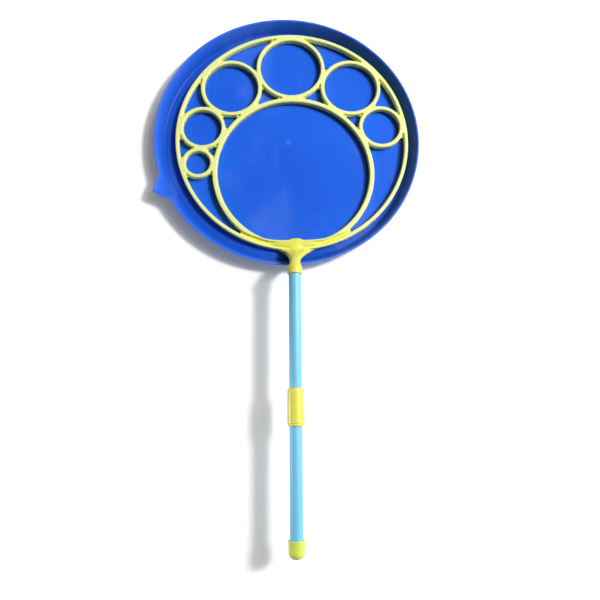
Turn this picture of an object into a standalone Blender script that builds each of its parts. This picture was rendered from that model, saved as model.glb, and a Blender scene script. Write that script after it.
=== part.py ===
"""Bubble wand lying in its round dip tray.

The wand has a flat moulded loop head, a cranked neck and a two-section push-fit tube handle.
Metres, +Z up. The origin is the centre of the tray's underside. The handle points along -Y.
"""
import math

import bmesh
import bpy
from mathutils import Matrix, Vector

# Fits
REST_GAP = 0.0003           # between faces that rest on each other
PUSH_FIT_GAP = 0.00025      # radial play of a tube in its socket
FUSE = 0.0003               # how far moulded ribs run into each other

# Loop head, seen from above with the hoop's centre as its own origin
HOOP_INNER_RADIUS = 0.1293
HOOP_RIB = 0.0040
BIG_LOOP_RADIUS = 0.0862    # inside
BIG_LOOP_RIB = 0.0046
BIG_LOOP_OFFSET = 0.0405    # from the hoop's centre towards the handle
SMALL_LOOP_RIB = 0.0039
LOOPS_LEFT = 3              # small loops beside the top one
LOOPS_RIGHT = 2
LOOPS_TURN = math.radians(1.3)   # the loops sit slightly round from the handle's line
RIB_HEIGHT = 0.0070
RIB_CHAMFER = 0.0009
WEB_END_GAP = 0.0048        # width of the gap between two ribs where the web in it ends
WEB_FLOOR = 0.0010          # underside of the webs above the underside of the ribs
WEB_HEIGHT = 0.0034
CHORD_SAG = 0.0050          # from the bridge's straight edge to the lowest point inside the big loop
CHORD_RIB = 0.0034
BRIDGE_HALF_WIDTH = 0.0610

# Neck between bridge and handle
ROOT_WIDTH = 0.0165
ROOT_HEIGHT = 0.0100
FLARE_WIDTH = 0.0370        # wings at the hoop
WING_DEPTH = 0.0046
WAIST_WIDTH = 0.0114
NECK_DEPTH = 0.0112
COLLAR_RADIUS = 0.0078
COLLAR_LENGTH = 0.0067
SOCKET_DEPTH = 0.0060
MOUTH_PAST_RIM = 0.0156     # socket mouth beyond the tray's rim
RIM_TO_HANDLE = 0.0220      # handle axis above the tray's rim

# Handle
TUBE_RADIUS = 0.0063
TUBE_WALL = 0.0009
UPPER_TUBE_SHOWN = 0.1163   # between socket mouth and coupler
LOWER_TUBE_SHOWN = 0.1045   # between coupler and end cap
COUPLER_RADIUS = 0.0084
COUPLER_LENGTH = 0.0367
COUPLER_STOP = 0.0020       # inner ring that the tubes butt against
COUPLER_STOP_RADIUS = 0.0045
COUPLER_CHAMFER = 0.0010
CAP_RADIUS = 0.0081
CAP_LENGTH = 0.0175
CAP_CROWN = 0.0062          # rounded end of the cap
CAP_END_WALL = 0.0034

# Dip tray
LIE_X = 0.006               # where the hoop's centre lies in the tray
LIE_Y = 0.002
FLOOR_MARGIN = 0.0011       # from the hoop to the edge of the flat floor
TRAY_WALL = 0.0018
TRAY_HEIGHT = 0.0160
CORNER_RADIUS = 0.0030
WALL_FLARE = 0.0058         # floor edge to the foot of the lip
LIP_WIDTH = 0.0036
LIP_HEIGHT = 0.0026
SPOUT_ANGLE = math.radians(204.5)
SPOUT_REACH = 0.0125
SPOUT_HALF_ANGLE = math.radians(6.5)

# Facets
HOOP_STEPS = 96
TRAY_STEPS = 96
HANDLE_STEPS = 32
NECK_STEPS = 14
NECK_SIDES = 24
FACET_LENGTH = 0.0062       # longest facet along a small loop

# Worked out
HOOP_OUTER_RADIUS = HOOP_INNER_RADIUS + HOOP_RIB
BIG_LOOP_OUTER_RADIUS = BIG_LOOP_RADIUS + BIG_LOOP_RIB
CHORD_DROP = BIG_LOOP_OFFSET + BIG_LOOP_RADIUS - CHORD_SAG
FLOOR_RADIUS = HOOP_OUTER_RADIUS + math.hypot(LIE_X, LIE_Y) + FLOOR_MARGIN
RIM_RADIUS = FLOOR_RADIUS + WALL_FLARE + LIP_WIDTH
HEAD_Z = TRAY_WALL + REST_GAP
HANDLE_Z = TRAY_HEIGHT + RIM_TO_HANDLE
MOUTH_Y = -RIM_RADIUS - MOUTH_PAST_RIM
SOCKET_RADIUS = TUBE_RADIUS + PUSH_FIT_GAP


def clear_scene():
    for thing in list(bpy.data.objects):
        bpy.data.objects.remove(thing)


def collection(name):
    group = bpy.data.collections.new(name)
    bpy.context.scene.collection.children.link(group)
    return group


def plastic(name, colour, roughness):
    material = bpy.data.materials.new(name)
    material.use_nodes = True
    shader = material.node_tree.nodes["Principled BSDF"]
    shader.inputs["Base Color"].default_value = (*colour, 1.0)
    shader.inputs["Roughness"].default_value = roughness
    shader.inputs["Metallic"].default_value = 0.0
    return material


def mesh_object(name, bm, group, material=None):
    """Turns a bmesh into a smooth-shaded object in a collection."""
    mesh = bpy.data.meshes.new(name)
    bm.to_mesh(mesh)
    bm.free()
    mesh.shade_smooth()
    mesh.set_sharp_from_angle(angle=math.radians(35))
    thing = bpy.data.objects.new(name, mesh)
    group.objects.link(thing)
    if material:
        mesh.materials.append(material)
    return thing


def empty(name, place, group, parent=None):
    marker = bpy.data.objects.new(name, None)
    marker.location = place
    marker.parent = parent
    group.objects.link(marker)
    return marker


def hide_cutter(thing):
    thing.hide_render = True
    thing.display_type = "WIRE"


def boolean(target, cutter, operation, use_self=False):
    modifier = target.modifiers.new(cutter.name, "BOOLEAN")
    modifier.operation = operation
    modifier.object = cutter
    modifier.solver = "EXACT"
    modifier.use_self = use_self


def spin_profile(bm, points, centre, steps):
    """Turns a closed outline of (radius, height) points round a vertical line at centre."""
    verts = [bm.verts.new((centre.x + radius, centre.y, height)) for radius, height in points]
    edges = [bm.edges.new((verts[i - 1], verts[i])) for i in range(len(verts))]
    bmesh.ops.spin(bm, geom=verts + edges, cent=(centre.x, centre.y, 0.0), axis=(0.0, 0.0, 1.0),
                   angle=2.0 * math.pi, steps=steps, use_merge=True)


def add_rib_ring(bm, centre, inner, outer, steps):
    """A ring with a chamfered top, as deep as the ribs."""
    shoulder = RIB_HEIGHT - RIB_CHAMFER
    outline = [(inner, 0.0), (outer, 0.0), (outer, shoulder), (outer - RIB_CHAMFER, RIB_HEIGHT),
               (inner + RIB_CHAMFER, RIB_HEIGHT), (inner, shoulder)]
    spin_profile(bm, outline, centre, steps)


def add_box(bm, centre, size, turn):
    """A box on its underside's centre, turned about Z."""
    place = Matrix.Translation(centre + Vector((0.0, 0.0, size.z / 2.0)))
    shape = place @ Matrix.Rotation(turn, 4, "Z") @ Matrix.Diagonal((*size, 1.0))
    bmesh.ops.create_cube(bm, size=1.0, matrix=shape)


def add_plate(bm, outline, bottom, height):
    """A flat plate of the given outline."""
    face = bm.faces.new([bm.verts.new((point.x, point.y, bottom)) for point in outline])
    grown = bmesh.ops.extrude_face_region(bm, geom=[face])
    top = [item for item in grown["geom"] if isinstance(item, bmesh.types.BMVert)]
    bmesh.ops.translate(bm, verts=top, vec=(0.0, 0.0, height))


def turned(point):
    """A point of the loop pattern, set round from the handle's line."""
    return Matrix.Rotation(LOOPS_TURN, 3, "Z") @ point


def big_loop_centre():
    return turned(Vector((0.0, -BIG_LOOP_OFFSET, 0.0)))


def loop_between(angle):
    """Centre and outer radius of the loop that touches the hoop and the big loop.

    The angle is the direction from the big loop's centre.
    """
    rise = BIG_LOOP_OFFSET * math.sin(angle)
    room = HOOP_INNER_RADIUS ** 2 - BIG_LOOP_OUTER_RADIUS ** 2 - BIG_LOOP_OFFSET ** 2
    radius = (room + 2.0 * rise * BIG_LOOP_OUTER_RADIUS) / (
        2.0 * (HOOP_INNER_RADIUS + BIG_LOOP_OUTER_RADIUS - rise))
    reach = BIG_LOOP_OUTER_RADIUS + radius
    centre = Vector((reach * math.cos(angle), reach * math.sin(angle) - BIG_LOOP_OFFSET, 0.0))
    return centre, radius


def next_loop_angle(angle, side):
    """Direction of the next loop round, which touches the loop at this angle."""
    centre, radius = loop_between(angle)
    near, far = 0.0, 1.5
    for _ in range(50):
        middle = (near + far) / 2.0
        other, other_radius = loop_between(angle + side * middle)
        if (other - centre).length < radius + other_radius:
            near = middle
        else:
            far = middle
    return angle + side * far


def small_loops():
    """The chain of small loops as rows of loops that touch, the top loop first in each row."""
    rows = []
    for side, count in ((1.0, LOOPS_LEFT), (-1.0, LOOPS_RIGHT)):
        angle = math.pi / 2.0
        row = [loop_between(angle)]
        for _ in range(round(count)):
            angle = next_loop_angle(angle, side)
            row.append(loop_between(angle))
        rows.append([(turned(centre), radius) for centre, radius in row])
    return rows


def square_to(direction):
    return Vector((-direction.y, direction.x, 0.0))


def web_reach(radius, other):
    """How far from the point of contact the gap between two ribs opens to the webs' end gap.

    The hoop bends round the contact from outside and counts as a negative radius.
    """
    near, far = 0.0, radius * 0.999
    for _ in range(50):
        reach = (near + far) / 2.0
        bend = radius - math.sqrt(radius ** 2 - reach ** 2)
        other_bend = other - math.copysign(math.sqrt(other ** 2 - reach ** 2), other)
        if bend + other_bend < WEB_END_GAP:
            near = reach
        else:
            far = reach
    return far


def add_web(bm, centre, radius, towards, other, other_rib):
    """The recessed plate in both cusps where a small loop meets another rib."""
    reach = web_reach(radius, other)
    across = square_to(towards)
    near_middle = radius - SMALL_LOOP_RIB / 2.0
    far_middle = other - other_rib / 2.0
    near_side = []
    far_side = []
    points = 9
    for i in range(points):
        off = reach * (2.0 * i / (points - 1) - 1.0)
        near = math.sqrt(near_middle ** 2 - off ** 2)
        far = radius + other - math.copysign(math.sqrt(far_middle ** 2 - off ** 2), far_middle)
        near_side.append(centre + across * off + towards * near)
        far_side.append(centre + across * off + towards * far)
    add_plate(bm, near_side + far_side[::-1], WEB_FLOOR, WEB_HEIGHT)


def add_small_loops(bm):
    big_centre = big_loop_centre()
    rows = small_loops()
    for row in rows:
        for index, (centre, radius) in enumerate(row):
            if index == 0 and row is rows[1]:
                continue
            steps = max(24, 4 * math.ceil(math.pi * radius / FACET_LENGTH / 2.0))
            add_rib_ring(bm, centre, radius - SMALL_LOOP_RIB, radius + FUSE, steps)
            add_web(bm, centre, radius, centre.normalized(), -HOOP_INNER_RADIUS, HOOP_RIB)
            inward = (big_centre - centre).normalized()
            add_web(bm, centre, radius, inward, BIG_LOOP_OUTER_RADIUS, BIG_LOOP_RIB)
        for (centre, radius), (other, other_radius) in zip(row, row[1:]):
            towards = (other - centre).normalized()
            add_web(bm, centre, radius, towards, other_radius, SMALL_LOOP_RIB)


def arc(drop, radius, start_x, end_x, points):
    """Points of the lower half of a circle between two X places, its centre below the hoop's."""
    start = math.asin(start_x / radius)
    end = math.asin(end_x / radius)
    angles = [start + (end - start) * i / (points - 1) for i in range(points)]
    return [Vector((radius * math.sin(a), -drop - radius * math.cos(a), 0.0)) for a in angles]


def add_bridge(bm):
    """The recessed plate between hoop and big loop, and the raised rib along its straight edge."""
    hoop_middle = HOOP_INNER_RADIUS + HOOP_RIB / 2.0
    loop_middle = BIG_LOOP_RADIUS + BIG_LOOP_RIB / 2.0
    half_chord = math.sqrt(CHORD_SAG * (2.0 * BIG_LOOP_RADIUS - CHORD_SAG))
    edge = arc(0.0, hoop_middle, -BRIDGE_HALF_WIDTH, BRIDGE_HALF_WIDTH, 17)
    right = arc(BIG_LOOP_OFFSET, loop_middle, BRIDGE_HALF_WIDTH, half_chord, 5)
    left = arc(BIG_LOOP_OFFSET, loop_middle, -half_chord, -BRIDGE_HALF_WIDTH, 5)
    chord_middle = -CHORD_DROP - CHORD_RIB / 2.0
    chord = [Vector((half_chord, chord_middle, 0.0)), Vector((-half_chord, chord_middle, 0.0))]
    outline = [turned(point) for point in edge + right + chord + left]
    add_plate(bm, outline, WEB_FLOOR, WEB_HEIGHT)
    rib = Vector((2.0 * half_chord + BIG_LOOP_RIB, CHORD_RIB, RIB_HEIGHT))
    add_box(bm, turned(Vector((0.0, chord_middle, 0.0))), rib, LOOPS_TURN)


def head_point(x, y, z):
    """A point of the wand in the loop head's own frame, from a place in the tray's frame."""
    return Vector((x - LIE_X, y - LIE_Y, z - HEAD_Z))


def ease(share):
    return share * share * (3.0 - 2.0 * share)


def between(shares, values, share):
    """Value at a share of the way, eased between given stations."""
    for i in range(1, len(shares)):
        if share <= shares[i]:
            part = (share - shares[i - 1]) / (shares[i] - shares[i - 1])
            return values[i - 1] + (values[i] - values[i - 1]) * ease(part)
    return values[-1]


def spine_line(share):
    """Centre line of the neck: level on the bridge, steep over the tray's rim, level in the collar."""
    start = turned(Vector((0.0, -CHORD_DROP - FUSE, WEB_FLOOR + ROOT_HEIGHT / 2.0)))
    end = head_point(LIE_X, MOUTH_Y + COLLAR_LENGTH - FUSE, HANDLE_Z)
    place = start.lerp(end, share)
    level = 0.30
    place.z = start.z + (end.z - start.z) * ease(max(0.0, (share - level) / (1.0 - level)))
    return place


def wing_line(share):
    """Middle of the two wings, from inside the hoop's rib up to the waist."""
    start = turned(Vector((0.0, -HOOP_INNER_RADIUS - HOOP_RIB / 2.0, RIB_HEIGHT / 2.0)))
    end = spine_line(0.80)
    place = start.lerp(end, share)
    place.z = start.z + (end.z - start.z) * ease(share)
    return place


def spine_size(share):
    stations = (0.0, 0.30, 0.62, 0.90, 1.0)
    collar = 2.0 * COLLAR_RADIUS - 2.0 * FUSE
    middle = (ROOT_WIDTH + WAIST_WIDTH) / 2.0
    width = between(stations, (ROOT_WIDTH, middle, WAIST_WIDTH, WAIST_WIDTH, collar), share)
    depth = between(stations, (ROOT_HEIGHT, NECK_DEPTH, NECK_DEPTH, NECK_DEPTH, collar), share)
    return width, depth


def wing_size(share):
    inside = WAIST_WIDTH - 2.0 * FUSE
    return inside + (FLARE_WIDTH - inside) * (1.0 - share) ** 2, WING_DEPTH


def add_loft(bm, line, size, squareness):
    """A closed loft of oval sections, which are boxier for a higher squareness."""
    rings = []
    for i in range(NECK_STEPS + 1):
        share = i / NECK_STEPS
        step = 0.01
        ahead = line(min(1.0, share + step)) - line(max(0.0, share - step))
        across = Matrix.Rotation(LOOPS_TURN * (1.0 - share), 3, "Z") @ Vector((1.0, 0.0, 0.0))
        lift = ahead.cross(across).normalized()
        width, depth = size(share)
        ring = []
        for k in range(NECK_SIDES):
            turn = 2.0 * math.pi * (k + 0.5) / NECK_SIDES
            aside = math.copysign(abs(math.cos(turn)) ** (1.0 / squareness), math.cos(turn))
            up = math.copysign(abs(math.sin(turn)) ** (1.0 / squareness), math.sin(turn))
            place = line(share) + across * width / 2.0 * aside + lift * depth / 2.0 * up
            ring.append(bm.verts.new(place))
        rings.append(ring)
    for ring, other in zip(rings, rings[1:]):
        for k in range(NECK_SIDES):
            bm.faces.new((ring[k - 1], ring[k], other[k], other[k - 1]))
    bm.faces.new(rings[0])
    bm.faces.new(rings[-1])


def along_handle(bm, mouth):
    """Lays a shape that was turned about Z down along the handle, from the socket's mouth."""
    lie = Matrix.Translation(mouth) @ Matrix.Rotation(math.pi / 2.0, 4, "X")
    bmesh.ops.transform(bm, matrix=lie, verts=bm.verts)


def cylinder(bm, radius, start, end, sides):
    place = Matrix.Translation((0.0, 0.0, (start + end) / 2.0))
    bmesh.ops.create_cone(bm, cap_ends=True, segments=sides, radius1=radius, radius2=radius,
                          depth=end - start, matrix=place)


def build_head(parts, cutters, parent, material):
    """One moulding: hoop, loops, webs, bridge, neck and socket collar."""
    ribs = bmesh.new()
    origin = Vector((0.0, 0.0, 0.0))
    add_rib_ring(ribs, origin, HOOP_INNER_RADIUS, HOOP_OUTER_RADIUS, HOOP_STEPS)
    big_steps = 4 * math.ceil(2.0 * math.pi * BIG_LOOP_RADIUS / FACET_LENGTH / 4.0 * 0.8)
    add_rib_ring(ribs, big_loop_centre(), BIG_LOOP_RADIUS, BIG_LOOP_OUTER_RADIUS + FUSE, big_steps)
    add_small_loops(ribs)
    add_bridge(ribs)
    bmesh.ops.recalc_face_normals(ribs, faces=ribs.faces)
    head = mesh_object("loop_head", ribs, parts, material)
    head.parent = parent

    neck = bmesh.new()
    add_loft(neck, spine_line, spine_size, 1.0)
    add_loft(neck, wing_line, wing_size, 2.0)
    bmesh.ops.recalc_face_normals(neck, faces=neck.faces)
    neck_piece = mesh_object("neck_form", neck, cutters)

    mouth = head_point(LIE_X, MOUTH_Y, HANDLE_Z)
    collar = bmesh.new()
    cylinder(collar, COLLAR_RADIUS, -COLLAR_LENGTH, 0.0, HANDLE_STEPS)
    along_handle(collar, mouth)
    collar_piece = mesh_object("collar_form", collar, cutters)

    socket = bmesh.new()
    cylinder(socket, SOCKET_RADIUS, -SOCKET_DEPTH, SOCKET_DEPTH, HANDLE_STEPS)
    along_handle(socket, mouth)
    socket_piece = mesh_object("socket_bore", socket, cutters)

    for form in (neck_piece, collar_piece, socket_piece):
        form.parent = parent
        hide_cutter(form)
    boolean(head, neck_piece, "UNION", use_self=True)
    boolean(head, collar_piece, "UNION")
    boolean(head, socket_piece, "DIFFERENCE")
    return head


def turned_piece(name, outline, parts, parent, material):
    """A round handle piece, turned from an outline of (radius, distance along the handle)."""
    bm = bmesh.new()
    spin_profile(bm, outline, Vector((0.0, 0.0, 0.0)), HANDLE_STEPS)
    bmesh.ops.remove_doubles(bm, verts=bm.verts, dist=1e-6)
    on_axis = [edge for edge in bm.edges if edge.is_wire]
    bmesh.ops.delete(bm, geom=on_axis, context="EDGES")
    bmesh.ops.recalc_face_normals(bm, faces=bm.faces)
    piece = mesh_object(name, bm, parts, material)
    piece.parent = parent
    piece.rotation_euler = (math.pi / 2.0, 0.0, 0.0)
    return piece


def tube_outline(start, end):
    inner = TUBE_RADIUS - TUBE_WALL
    return [(inner, start), (TUBE_RADIUS, start), (TUBE_RADIUS, end), (inner, end)]


def build_handle(parts, mouth, material_tube, material_trim):
    """Two tubes, the coupler between them and the end cap, all along the handle's axis."""
    coupler_start = UPPER_TUBE_SHOWN
    coupler_end = coupler_start + COUPLER_LENGTH
    stop_start = (coupler_start + coupler_end - COUPLER_STOP) / 2.0
    stop_end = stop_start + COUPLER_STOP
    cap_start = coupler_end + LOWER_TUBE_SHOWN
    cap_end = cap_start + CAP_LENGTH
    cap_floor = cap_end - CAP_END_WALL

    upper = tube_outline(REST_GAP - SOCKET_DEPTH, stop_start - REST_GAP)
    turned_piece("upper_tube", upper, parts, mouth, material_tube)
    lower = tube_outline(stop_end + REST_GAP, cap_floor - REST_GAP)
    turned_piece("lower_tube", lower, parts, mouth, material_tube)

    edge = COUPLER_RADIUS - COUPLER_CHAMFER
    coupler = [(SOCKET_RADIUS, coupler_start), (edge, coupler_start),
               (COUPLER_RADIUS, coupler_start + COUPLER_CHAMFER),
               (COUPLER_RADIUS, coupler_end - COUPLER_CHAMFER),
               (edge, coupler_end), (SOCKET_RADIUS, coupler_end),
               (SOCKET_RADIUS, stop_end), (COUPLER_STOP_RADIUS, stop_end),
               (COUPLER_STOP_RADIUS, stop_start), (SOCKET_RADIUS, stop_start)]
    turned_piece("coupler", coupler, parts, mouth, material_trim)

    crown_start = cap_end - CAP_CROWN
    crown = []
    for i in range(7):
        turn = math.pi / 2.0 * i / 6
        crown.append((CAP_RADIUS * math.cos(turn), crown_start + CAP_CROWN * math.sin(turn)))
    cap = [(SOCKET_RADIUS, cap_start), (CAP_RADIUS, cap_start)] + crown
    cap += [(0.0, cap_floor), (SOCKET_RADIUS, cap_floor)]
    turned_piece("end_cap", cap, parts, mouth, material_trim)


def tray_profile():
    """Wet side of the tray from the middle of the floor to the rim, as (radius, height, share up)."""
    lip_foot = TRAY_HEIGHT - LIP_HEIGHT
    wall_x = WALL_FLARE
    wall_z = lip_foot - TRAY_WALL
    lean = math.atan2(wall_z, wall_x)
    cut = CORNER_RADIUS * math.tan(lean / 2.0)
    points = [(0.0, TRAY_WALL)]
    for i in range(4):
        turn = lean * i / 3
        radius = FLOOR_RADIUS - cut + CORNER_RADIUS * math.sin(turn)
        points.append((radius, TRAY_WALL + CORNER_RADIUS * (1.0 - math.cos(turn))))
    foot = Vector((FLOOR_RADIUS + WALL_FLARE, lip_foot))
    rim = Vector((RIM_RADIUS, TRAY_HEIGHT))
    bend = Vector((foot.x + LIP_HEIGHT * wall_x / wall_z, TRAY_HEIGHT))
    for i in range(4):
        t = i / 3
        spot = foot * (1.0 - t) ** 2 + bend * 2.0 * t * (1.0 - t) + rim * t ** 2
        points.append((spot.x, spot.y))
    return points


def build_tray(parts, material):
    """A thin shell: flat floor, flared wall, rolled lip and a beak-shaped pouring spout."""
    profile = tray_profile()
    bm = bmesh.new()
    rows = len(profile)
    bmesh.ops.create_grid(bm, x_segments=TRAY_STEPS, y_segments=rows - 1, size=0.5)
    crowd = 0.65        # facets crowd together at the spout
    for vert in bm.verts:
        around = vert.co.x + 0.5
        radius, height = profile[round((vert.co.y + 0.5) * (rows - 1))]
        off = 2.0 * math.pi * around - crowd * math.sin(2.0 * math.pi * around)
        from_spout = min(1.0, min(off, 2.0 * math.pi - off) / SPOUT_HALF_ANGLE)
        up = max(0.0, (height - TRAY_WALL) / (TRAY_HEIGHT - TRAY_WALL))
        pull = SPOUT_REACH * up * (1.0 - from_spout ** 1.5) ** 1.6
        angle = SPOUT_ANGLE + off
        vert.co = ((radius + pull) * math.cos(angle), (radius + pull) * math.sin(angle), height)
    bmesh.ops.remove_doubles(bm, verts=bm.verts, dist=1e-6)
    bmesh.ops.recalc_face_normals(bm, faces=bm.faces)
    floor = min(bm.faces, key=lambda face: face.calc_center_median().length)
    if floor.normal.z < 0.0:
        bmesh.ops.reverse_faces(bm, faces=bm.faces)
    tray = mesh_object("dip_tray", bm, parts, material)
    shell = tray.modifiers.new("wall", "SOLIDIFY")
    shell.thickness = TRAY_WALL
    shell.offset = -1.0
    shell.use_even_offset = True
    shell.use_quality_normals = True
    return tray


def main():
    clear_scene()
    parts = collection("bubble_wand_and_tray")
    cutters = collection("forms_and_cutters")
    yellow = plastic("yellow_plastic", (0.87, 0.86, 0.11), 0.35)
    trim = plastic("yellow_trim", (0.86, 0.78, 0.12), 0.35)
    blue = plastic("blue_plastic", (0.018, 0.115, 0.75), 0.25)
    sky = plastic("sky_blue_plastic", (0.24, 0.58, 0.88), 0.30)

    build_tray(parts, blue)
    head_place = empty("wand_lift", (LIE_X, LIE_Y, HEAD_Z), parts)
    build_head(parts, cutters, head_place, yellow)
    handle_place = empty("handle_pull", head_point(LIE_X, MOUTH_Y, HANDLE_Z), parts, head_place)
    build_handle(parts, handle_place, sky, trim)


main()
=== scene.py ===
"""Looks of a bubble wand that lies in its round dip tray.

Every piece is made in the frame's own coordinates: metres, +Z up, the handle along -Y.
"""

import math

import bmesh
import bpy
from mathutils import Matrix, Vector


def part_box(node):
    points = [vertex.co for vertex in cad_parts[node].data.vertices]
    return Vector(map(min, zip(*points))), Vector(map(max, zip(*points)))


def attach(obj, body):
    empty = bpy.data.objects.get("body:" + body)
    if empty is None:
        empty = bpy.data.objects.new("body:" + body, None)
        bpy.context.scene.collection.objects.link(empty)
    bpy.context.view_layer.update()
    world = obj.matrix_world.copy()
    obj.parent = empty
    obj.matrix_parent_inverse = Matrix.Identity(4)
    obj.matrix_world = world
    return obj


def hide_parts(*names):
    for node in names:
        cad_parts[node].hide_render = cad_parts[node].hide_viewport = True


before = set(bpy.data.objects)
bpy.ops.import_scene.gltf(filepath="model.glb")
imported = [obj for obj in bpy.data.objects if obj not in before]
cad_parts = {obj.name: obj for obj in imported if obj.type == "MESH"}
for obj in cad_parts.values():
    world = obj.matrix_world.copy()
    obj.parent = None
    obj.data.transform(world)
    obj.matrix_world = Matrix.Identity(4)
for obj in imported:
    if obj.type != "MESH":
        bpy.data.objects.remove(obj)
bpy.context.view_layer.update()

FULL_TURN = 2.0 * math.pi
MERGE_DISTANCE = 1e-6
HALVINGS = 50               # rounds of a search by halving

# Places and main sizes read from the frame
head_low, head_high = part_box("loop_head")
upper_low, upper_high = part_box("upper_tube")
lower_low, lower_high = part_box("lower_tube")
coupler_low, coupler_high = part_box("coupler")
cap_low, cap_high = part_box("end_cap")
HOOP_OUTER = (head_high.x - head_low.x) / 2.0
HOOP_CENTRE = Vector(((head_low.x + head_high.x) / 2.0, head_high.y - HOOP_OUTER, head_low.z))
AXIS_X = (upper_low.x + upper_high.x) / 2.0
AXIS_Z = (upper_low.z + upper_high.z) / 2.0
MOUTH_Y = head_low.y
TUBE_RADIUS = (upper_high.x - upper_low.x) / 2.0
COUPLER_RADIUS = (coupler_high.x - coupler_low.x) / 2.0
CAP_RADIUS = (cap_high.x - cap_low.x) / 2.0
TRAY_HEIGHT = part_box("dip_tray")[1].z

# Loop head
HOOP_RIB = 0.0040
BIG_LOOP_RADIUS = 0.0862
BIG_LOOP_RIB = 0.0046
BIG_LOOP_OFFSET = 0.0405
SMALL_LOOP_RIB = 0.0039
LOOPS_LEFT = 3
LOOPS_RIGHT = 2
LOOPS_TURN = math.radians(1.3)
LOOP_STEP_LIMIT = 1.5       # radians, more than between any two neighbouring loops
RIB_HEIGHT = 0.0070
RIB_ROUNDING = 0.00135
ROUNDING_STEPS = 4
RIB_GAIN = 0.0005           # the ribs' outer edges, with their moulding draft, gain this much
TIP_RADIUS = 0.0008         # rounded end of the groove between two ribs that meet
TIP_STEPS = 6
WEB_END_GAP = 0.0048
WEB_REACH_LIMIT = 0.999     # of the smaller radius beside a web
WEB_FLOOR = 0.0010
WEB_HEIGHT = 0.0034
WEB_ROUNDING = 0.0004
WEB_INSET = 0.0012          # how far the webs run into the ribs
CRESCENT_MIDDLE = (0.75, -0.5)  # a place inside the right crescent, in radii of the hoop
CHORD_DROP = 0.1217
CHORD_RIB = 0.0025
CHORD_SOFTNESS = 40.0       # a higher power gives a sharper corner between loop and chord
HANDLE_SIDE = 0.05          # sine of the angle from which an edge counts as on the handle's side
BRIDGE_HALF_WIDTH = 0.0610
BRIDGE_FADE = 0.0200        # over this length the ribs beside the bridge get slimmer
BIG_LOOP_SLIMMING = 0.0033
HOOP_SLIMMING = 0.0016
HOOP_INNER = HOOP_OUTER - HOOP_RIB
BIG_LOOP_OUTER = BIG_LOOP_RADIUS + BIG_LOOP_RIB
POINT_STEP = 0.0015         # between points of an outline
# From the plane of the outlines to the head's place in the tray
HEAD_PLACE = Matrix.Translation(HOOP_CENTRE) @ Matrix.Rotation(LOOPS_TURN, 4, "Z")

# Fine ridges that hold liquid inside the loops
RIDGE_PITCH = 0.0026
RIDGE_RADIUS = 0.00045
RIDGE_SIDES = 8
RIDGE_HEIGHT = 0.0044
RIDGE_FLOOR = 0.0012

# Neck and socket
ROOT_WIDTH = 0.0216
ROOT_HEIGHT = 0.0063
NOSE_REACH = 0.0030         # how far the rounded root stands into the big loop
NOSE_SHARE = 0.14           # part of the neck over which its root rounds off
NOSE_ROUNDNESS = 0.96       # 1 would close the root to a point
LEVEL_SHARE = 0.30          # part of the neck that lies level on the bridge
WAIST_SHARE = 0.62          # from here on the neck is as slim as its waist
WAIST_WIDTH = 0.0114
NECK_DEPTH = 0.0112
SPINE_SQUARENESS = 1.25
FLARE_WIDTH = 0.0370
FLARE_ROOT = 0.0090         # extra width where the wings run out in the hoop's rib
FLARE_ROOT_SHARE = 0.25
WING_DEPTH = 0.0062
WING_END = 0.80             # place along the neck where the wings end
WING_SQUARENESS = 2.0
MOUND_SIZE = (0.0300, 0.0050, 0.0034)
MOUND_LIFT = 0.8            # of the mound's height, above the webs' floor
LOFT_STEPS = 48
LOFT_SIDES = 64
LOFT_GLANCE = 0.01          # share of a line on both sides of a section that sets its direction
NECK_VOXEL = 0.00055
NECK_OVERRUN = 1.12         # the spine is first made longer by this factor and then cut at the collar
SOFTENING_ROUNDS = 30
REST_GAP = 0.0003
SOCKET_GAP = 0.00025
SOCKET_FLOOR = 0.0007
SOCKET_EDGE = 0.0004
SOCKET_RADIUS = TUBE_RADIUS + SOCKET_GAP
COLLAR_RADIUS = 0.0078
COLLAR_EDGE = 0.0008
COLLAR_FLARE = 0.0055       # length over which the neck widens to the collar
COLLAR_INSET = REST_GAP / 10.0  # the neck's end stays this much inside the collar
COLLAR_LENGTH = upper_high.y - MOUTH_Y + REST_GAP + SOCKET_FLOOR
COLLAR_BACK = MOUTH_Y + COLLAR_LENGTH
NECK_END = Vector((AXIS_X, COLLAR_BACK - SOCKET_FLOOR / 2.0, AXIS_Z))

# Handle
TUBE_WALL = 0.0009
TUBE_EDGE = 0.0002
STOP_RADIUS = 0.0045
STOP_EDGE = 0.0003
COUPLER_BAND = 0.0022       # length of the coupler's slimmer ends
COUPLER_STEP = 0.0005
COUPLER_STEP_EDGE = 0.0006
COUPLER_END_EDGE = 0.0011
CAP_RIM = 0.0016
CAP_RIM_EDGE = 0.0006
CAP_STEP = 0.0003
CAP_STEP_LENGTH = 0.0004
CAP_STEP_EDGE = 0.0004
CAP_CROWN = 0.0062
CAP_CROWN_STEPS = 14
SEAM = {"Seam Height": 0.00008, "Seam From": TUBE_RADIUS * 1.15}
SEAM_SINE = 0.001           # only points this close to the two sides are on the seam
ROUND_STEPS = 96
CORNER_STEPS = 6            # in a rounded corner of a section
CORNER_LIMIT = 0.49         # share of a section's side that a rounded corner may take
# From the Z axis that a section is turned round to the handle's axis
HANDLE_PLACE = Matrix.Translation((AXIS_X, 0.0, AXIS_Z)) @ Matrix.Rotation(math.radians(-90.0), 4, "X")

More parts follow.
